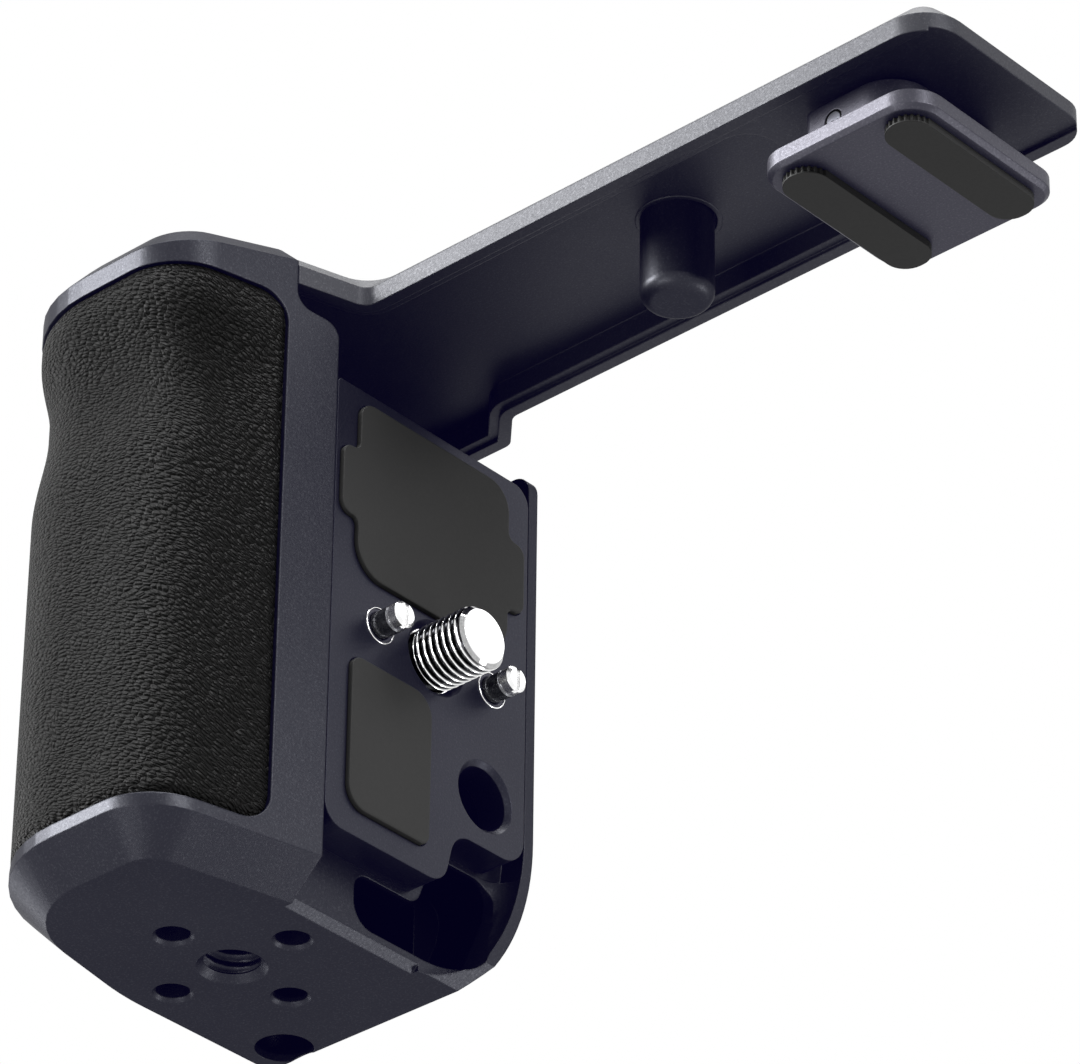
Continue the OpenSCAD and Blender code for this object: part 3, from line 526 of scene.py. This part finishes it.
def leatherLine():
    # from the finger side round the front to the palm
    m = leather
    lean = math.tan(math.radians(m["lean"]))
    line = roundedLine([
        (-lean * m["setback"], -m["corner"] - m["setback"]),
        (-lean * (m["front"] - m["corner"]), -m["front"]),
        (m["palmTurn"] - m["width"], -m["front"]),
        (-m["width"], m["palmFrom"]),
        (-m["width"], m["rear"]),
    ], [m["nose"], m["palmFront"], m["palmSide"]], m["step"])
    line[0] += (line[1] - line[0]).normalized() * m["gap"]
    line[-1] += (line[-2] - line[-1]).normalized() * m["gap"]
    return line


def grooveDepth(p, z):
    m = leather
    if p.x < -m["width"] / 2:
        along = smoothStep((m["palmReach"] - p.y) / m["palmRun"])
    else:
        along = smoothStep((-m["corner"] - m["setback"] - p.y + m["noseReach"]) / m["noseRun"])
    return m["groove"] * along * smoothStep((m["grooveHeight"] + m["above"] - z) / m["aboveRun"]) \
        * smoothStep((z - m["grooveHeight"] + m["below"]) / m["belowRun"])


def wallOf(count, rows):
    # faces of two skins of count by rows points and of the four sides between them
    def at(skin, i, j):
        return (skin * count + i) * (rows + 1) + j

    faces = []
    n = count - 1
    for i in range(n):
        for j in range(rows):
            faces.append((at(0, i, j), at(0, i, j + 1), at(0, i + 1, j + 1), at(0, i + 1, j)))
            faces.append((at(1, i, j), at(1, i + 1, j), at(1, i + 1, j + 1), at(1, i, j + 1)))
        faces.append((at(0, i, 0), at(0, i + 1, 0), at(1, i + 1, 0), at(1, i, 0)))
        faces.append((at(0, i, rows), at(1, i, rows), at(1, i + 1, rows), at(0, i + 1, rows)))
    for j in range(rows):
        faces.append((at(0, 0, j), at(1, 0, j), at(1, 0, j + 1), at(0, 0, j + 1)))
        faces.append((at(0, n, j), at(0, n, j + 1), at(1, n, j + 1), at(1, n, j)))
    return faces


def leatherWrap():
    m = leather
    line = leatherLine()
    length = [0]
    for p, q in zip(line, line[1:]):
        length.append(length[-1] + (q - p).length)
    total = length[-1]
    middle = Vector((-m["width"] / 2, m["middle"]))
    inwards = []
    for i, p in enumerate(line):
        d = (line[min(i + 1, len(line) - 1)] - line[max(i - 1, 0)]).normalized()
        normal = Vector((d.y, -d.x))
        inwards.append(normal if (middle - p).dot(normal) > 0 else -normal)
    rows = math.ceil((m["high"] - m["low"]) / m["step"])
    points, wrap = [], []
    for outer in (True, False):
        for i, p in enumerate(line):
            end = min(length[i], total - length[i], m["cornerRadius"])
            rise = m["cornerRadius"] - math.sqrt(max(0, 2 * end * m["cornerRadius"] - end * end))
            low, high = m["low"] + m["gap"] + rise, m["high"] - m["gap"] - rise
            for j in range(rows + 1):
                z = low + (high - low) * j / rows
                depth = m["thickness"]
                if outer:
                    inset = m["cornerShare"] * rise
                    edge = min(length[i], total - length[i], z - low + inset, high - z + inset)
                    rolled = m["rollDepth"] * (1 - smoothStep(edge / m["roll"])) ** m["rollPower"]
                    depth = m["gap"] + rolled + grooveDepth(p, z)
                at = p + inwards[i] * depth
                points.append((at.x, at.y, z))
                wrap.append((length[i], z, 0))
    piece = newPiece("leatherWrap", "grip", "leather", points, wallOf(len(line), rows), smooth=50)
    attribute = piece.data.attributes.new("wrap", "FLOAT_VECTOR", "POINT")
    for item, value in zip(attribute.data, wrap):
        item.vector = value
    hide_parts("leather_wrap")


leatherWrap()
print("leather made")


screw = {
    # mm along X from the mating face, and radii
    "crest": 3.175, "root": 2.74, "pitch": 0.78, "reach": 6.0, "tipChamfer": 0.55,
    "threadStart": -0.1, "runIn": 0.3, "plainTip": 0.35, "runOut": 0.25,
    "relief": -0.8, "reliefRadius": 2.775, "clipBack": -4.6, "clipFront": -4.0, "clipRadius": 2.625,
    "headFront": -9.7, "headBack": -14.7, "headRadius": 4.6, "headChamfer": 0.5,
    "socketFlats": 4, "socketDepth": 3.2, "tipDisc": 2.55, "tipCentre": 0.05,
}
tapped = {
    "at": (-15.7, -9.1), "crest": 2.6, "root": 3.1, "pitch": 1.27, "low": -29.55, "high": -23.75,
    "runOut": 0.4, "slack": 0.03, "overlap": 0.05, "upright": 0.3,
}
threadForm = {"rootShare": 0.2, "flankShare": 0.62, "rowsPerTurn": 14}


def threadHeight(turns):
    # 0 at the root, 1 at the crest
    return min(1, max(0, (abs(2 * (turns % 1) - 1) - threadForm["rootShare"]) / threadForm["flankShare"]))


def alongX(y=0):
    # places points round an axis along X
    return lambda along, a, b: (along, y + a, b)


def alongZ(at):
    return lambda along, a, b: (at[0] + a, at[1] + b, along)


def turnedPiece(name, body, slot, rings, place, around=96, smooth=30, closed=True):
    # rings of (distance along the axis, radius or a function of the share of a turn)
    points, faces = [], []
    for along, radius in rings:
        for i in range(around):
            r = radius(i / around) if callable(radius) else radius
            angle = 2 * math.pi * i / around
            points.append(place(along, r * math.cos(angle), r * math.sin(angle)))
    last = (len(rings) - 1) * around
    for j in range(0, last, around):
        for i in range(around):
            k = (i + 1) % around
            faces.append((j + i, j + k, j + around + k, j + around + i))
    if closed:
        faces.append(tuple(range(around)))
        faces.append(tuple(reversed(range(last, last + around))))
    return newPiece(name, body, slot, points, faces, smooth, closed)


def cameraScrew():
    m = screw

    def hexagon(share):
        side, half = math.pi / 3, math.pi / 6
        return m["socketFlats"] / 2 / math.cos((share * 2 * math.pi + half) % side - half)

    def threadRing(x):
        taper = min(m["crest"], m["crest"] - m["tipChamfer"] + (m["reach"] - x))
        fade = smoothStep((x - m["threadStart"]) / m["runIn"]) \
            * smoothStep((m["reach"] - m["plainTip"] - x) / m["runOut"])
        return lambda share: min(taper, (1 - fade) * taper + fade * (
            m["root"] + (m["crest"] - m["root"]) * threadHeight(x / m["pitch"] - share)))

    rings = [
        (m["headBack"] + m["socketDepth"], hexagon), (m["headBack"], hexagon),
        (m["headBack"], m["headRadius"] - m["headChamfer"]), (m["headBack"] + m["headChamfer"], m["headRadius"]),
        (m["headFront"], m["headRadius"]), (m["headFront"], m["crest"]),
        (m["clipBack"], m["crest"]), (m["clipBack"], m["clipRadius"]),
        (m["clipFront"], m["clipRadius"]), (m["clipFront"], m["crest"]),
        (m["relief"], m["crest"]), (m["relief"], m["reliefRadius"]), (m["threadStart"], m["reliefRadius"])]
    threaded = m["reach"] - m["threadStart"]
    rows = round(threaded / m["pitch"] * threadForm["rowsPerTurn"])
    for j in range(1, rows + 1):
        x = m["threadStart"] + threaded * j / rows
        rings.append((x, threadRing(x)))
    rings += [(m["reach"], m["tipDisc"]), (m["reach"], m["tipCentre"])]
    piece = turnedPiece("cameraScrew", "screw", "chrome", rings, alongX())
    finishPiece(piece, "thread")
    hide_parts("camera_screw")


def tappedHole():
    m = tapped
    rows = round((m["high"] - m["low"]) / m["pitch"] * threadForm["rowsPerTurn"])

    def threadRing(z):
        fade = smoothStep((z - m["low"]) / m["runOut"]) * smoothStep((m["high"] - z) / m["runOut"])
        depth = fade * (m["root"] - m["crest"])
        return lambda share: m["crest"] + depth * (1 - threadHeight(z / m["pitch"] - share))

    heights = [m["low"] + (m["high"] - m["low"]) * j / rows for j in range(rows + 1)]
    turnedPiece("tappedThread", "grip", "anodised", [(z, threadRing(z)) for z in heights],
                alongZ(m["at"]), around=72, closed=False)


def withoutBore(bm):
    # the plain bore gives way to the tapped thread
    m = tapped

    def onWall(vertex):
        x, y, z = (c / mm for c in vertex.co)
        return abs(math.hypot(x - m["at"][0], y - m["at"][1]) - m["crest"]) < m["slack"] \
            and m["low"] - m["overlap"] < z < m["high"] + m["overlap"]

    wall = [f for f in bm.faces if abs(f.normal.z) < m["upright"] and all(onWall(v) for v in f.verts)]
    bmesh.ops.delete(bm, geom=wall, context="FACES")


pins = {"pin_front": -7.5, "pin_rear": 7.5}  # mm along Y
neck = {"at": 2.0, "half": 0.15, "share": 0.84}  # of the pins
pinSeat = {
    "ring": 1.75, "wire": 0.07, "wireSides": 8,
    "inner": 1.36, "outer": 1.71, "back": -0.3, "front": -0.04,
}


def pinSeats():
    # recessed seat and a bright rim round each pin; the rim is a thin chrome wire, a painted highlight on the
    # seat's edge, and the seat takes the paler foot finish, painted lighter than the plate
    m = pinSeat
    rim = []
    for k in range(m["wireSides"] + 1):
        angle = 2 * math.pi * k / m["wireSides"]
        rim.append((m["wire"] * math.sin(angle), m["ring"] + m["wire"] * math.cos(angle)))
    seat = [(m["back"], m["inner"]), (m["front"], m["inner"]), (m["front"], m["outer"]),
            (m["back"], m["outer"]), (m["back"], m["inner"])]
    for end, y in zip(("Front", "Rear"), pins.values()):
        # painted highlight: a thin chrome wire along the seat's edge
        turnedPiece("pinRimHighlight" + end, "grip", "chrome", rim, alongX(y), around=72, smooth=80, closed=False)
        piece = turnedPiece("pinSeat" + end, "grip", "anodised", seat, alongX(y),
                            around=72, smooth=40, closed=False)
        # painted light: the paler foot finish makes the seat lighter than the plate it is cut in
        finishPiece(piece, "foot")


def slottedPin(nodeName, y):
    m = neck

    def neckIn(bm):
        for x in (m["at"] - m["half"], m["at"], m["at"] + m["half"]):
            cutAcross(bm, x)
        for vertex in bm.verts:
            if abs(vertex.co.x - m["at"] * mm) < closeness["touch"] * mm:
                vertex.co.y = y * mm + (vertex.co.y - y * mm) * m["share"]
                vertex.co.z *= m["share"]

    copyOf(nodeName, neckIn, "pin")


strip = {
    "width": 4.5, "length": 18.2, "low": 25.4, "high": 26.18, "farCorner": 2.1,
    "teeth": 12, "tooth": 0.2, "lip": 0.14, "perTooth": 4, "perCorner": 8,
    "centres": {"strip_inner": 50.45, "strip_outer": 62.15},
}


def ribbedStrip(nodeName, centre):
    m = strip
    half, near = m["width"] / 2, -m["length"] / 2 + m["width"] / 2
    steps = m["teeth"] * m["perTooth"]

    def outlineOf(tooth):
        line = []
        for k in range(steps + 1):
            angle = math.pi + math.pi * k / steps
            radius = half - (tooth if k % m["perTooth"] in (1, 2) else 0)
            line.append((radius * math.cos(angle), near + radius * math.sin(angle)))
        for side in (1, -1):
            for k in range(m["perCorner"] + 1):
                angle = math.pi / 2 * (k / m["perCorner"] + (0 if side > 0 else 1))
                line.append((side * (half - m["farCorner"]) + m["farCorner"] * math.cos(angle),
                             m["length"] / 2 - m["farCorner"] + m["farCorner"] * math.sin(angle)))
        return line

    ribbed, plain = outlineOf(m["tooth"]), outlineOf(0)
    lip = m["low"] + m["lip"]
    levels = ((m["high"], ribbed), (lip, ribbed), (lip, plain), (m["low"], plain))
    points = [(centre + x, y, z) for z, line in levels for x, y in line]
    n, last = len(plain), (len(levels) - 1) * len(plain)
    faces = [tuple(reversed(range(n))), tuple(range(last, last + n))]
    for j in range(0, last, n):
        faces += [(j + i, j + (i + 1) % n, j + n + (i + 1) % n, j + n + i) for i in range(n)]
    piece = newPiece(nodeName + "Ribbed", "shoe", "rubber", points, faces, smooth=25)
    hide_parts(nodeName)


plungerAxis = (29.4, 0)
collar = {"inner": 3.53, "outer": 4.05, "low": 35.14, "high": 35.34, "chamfer": 0.05}


def squeezedSpring():
    piece = copyOf("plunger_spring", rides=False)
    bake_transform(piece)


def pegCollar():
    m = collar
    c = m["chamfer"]
    rings = [(m["high"], m["inner"]), (m["low"] + c, m["inner"]), (m["low"], m["inner"] + c),
             (m["low"], m["outer"] - c), (m["low"] + c, m["outer"]), (m["high"], m["outer"]),
             (m["high"], m["inner"])]
    piece = turnedPiece("pegCollar", "grip", "anodised", rings, alongZ(plungerAxis), smooth=40, closed=False)
    finishPiece(piece, "arm")


shell = {
    "facets": range(-28, -2, 2),  # mm along X
    # the strap pocket's rim in the side face
    "mouthX": -3.7, "mouthY": (-6.5, 11.5), "mouthZ": (-29.6, -14), "slack": 0.02,
    "corner": 57, "bevel": 0.3,  # degrees and mm
}


def shellLook(bm):
    m = shell
    withoutBore(bm)
    # short facets, so that the curved flange shades evenly
    for x in m["facets"]:
        cutAcross(bm, x)

    def onMouth(vertex):
        x, y, z = vertex.co
        return abs(x - m["mouthX"] * mm) < m["slack"] * mm \
            and m["mouthY"][0] < y / mm < m["mouthY"][1] and m["mouthZ"][0] < z / mm < m["mouthZ"][1]

    corner = math.radians(m["corner"])
    rim = [e for e in bm.edges if len(e.link_faces) == 2 and e.calc_face_angle(0) > corner
           and all(onMouth(v) for v in e.verts)]
    bevelEdges(bm, rim, m["bevel"])


pinSeats()
squeezedSpring()
pegCollar()
cameraScrew()
tappedHole()
copyOf("grip_shell", shellLook)
for nodeName, y in pins.items():
    slottedPin(nodeName, y)
for nodeName, centre in strip["centres"].items():
    ribbedStrip(nodeName, centre)
finishPiece(frame["nodes"]["shoe_pivot"], "pivot")
print("screw, thread, pins and strips made")


floorLook = {
    "size": 3.0, "gap": 0.0003, "near": 0.25, "far": 0.7,  # metres
    "colour": (0.86, 0.86, 0.87), "roughness": 0.9,
}


def makeFloor():
    m = floorLook
    low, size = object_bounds()[0][2] - m["gap"], m["size"]
    corners = [(-size, -size, low), (size, -size, low), (size, size, low), (-size, size, low)]
    mesh = bpy.data.meshes.new("floor")
    mesh.from_pydata(corners, [], [(0, 1, 2, 3)])
    floor = bpy.data.objects.new("floor", mesh)
    bpy.context.scene.collection.objects.link(floor)
    finish = Finish("paleFloor", {"Base Color": m["colour"], "Roughness": m["roughness"]})
    direct = finish.wire("ShaderNodeLightPath", output="Is Camera Ray")
    below = finish.wire("ShaderNodeNewGeometry", output="Backfacing")
    # the floor fades into the white world away from the part
    away = finish.wire("ShaderNodeVectorMath", {"operation": "LENGTH"}, {0: finish.place}, output="Value")
    seen = direct * (1 - below) * (1 - finish.clamped(away, m["near"], m["far"]))
    clear = finish.wire("ShaderNodeBsdfTransparent")
    mix = finish.wire("ShaderNodeMixShader", {}, {0: seen, 1: clear, 2: finish.light})
    finish.feed(finish.out.inputs["Surface"], mix)
    mesh.materials.append(finish.material)


def lightWorld(fill):
    # white to the camera and in reflections, dimmer as a light
    world = bpy.data.worlds.new("studio")
    bpy.context.scene.world = world
    sky = Graph(world)
    path = sky.add("ShaderNodeLightPath")
    direct, glossy, through = (Wire(sky, path.outputs[name]) for name in (
        "Is Camera Ray", "Is Glossy Ray", "Is Transmission Ray"))
    level = sky.wire("ShaderNodeMapRange", {}, {
        "Value": direct.larger(glossy).larger(through), "To Min": fill, "To Max": 1.0})
    back = sky.wire("ShaderNodeBackground", {}, {"Color": grey(1), "Strength": level})
    sky.add("ShaderNodeOutputWorld", {}, {"Surface": back})


lamps = {
    # place, aim and size in mm, power in watts
    "frontLeft": {"at": (-520, -620, 330), "aim": (0, -10, 0), "size": (420, 560), "power": 27},
    "overhead": {"at": (60, -80, 700), "aim": (10, 0, 0), "size": (500, 500), "power": 9},
    "frontLow": {"at": (-60, -620, -420), "aim": (0, 0, 0), "size": (420, 300), "power": 2},
    "leftSide": {"at": (-820, 90, -60), "aim": (-10, 0, 0), "size": (260, 300), "power": 2.6},
    "rightSide": {"at": (760, -120, 240), "aim": (0, 0, 0), "size": (260, 420), "power": 5.2},
    "farRight": {"at": (560, 610, 530), "aim": (10, 0, 0), "size": (400, 400), "power": 0.6},
    "underRight": {"at": (520, 620, -550), "aim": (60, 0, 30), "size": (300, 300), "power": 2.6},
}


def hangLamps():
    for name, lamp in lamps.items():
        data = bpy.data.lights.new(name, "AREA")
        data.shape = "RECTANGLE"
        data.size, data.size_y = lamp["size"][0] * mm, lamp["size"][1] * mm
        data.energy = lamp["power"]
        light = bpy.data.objects.new(name, data)
        at, aim = Vector(lamp["at"]) * mm, Vector(lamp["aim"]) * mm
        turn = (aim - at).to_track_quat("-Z", "Y").to_matrix().to_4x4()
        light.matrix_world = Matrix.Translation(at) @ turn
        bpy.context.scene.collection.objects.link(light)


makeFloor()
lightWorld(fill=0.26)
hangLamps()
bpy.context.scene.view_settings.view_transform = "Standard"
print("stage lit")
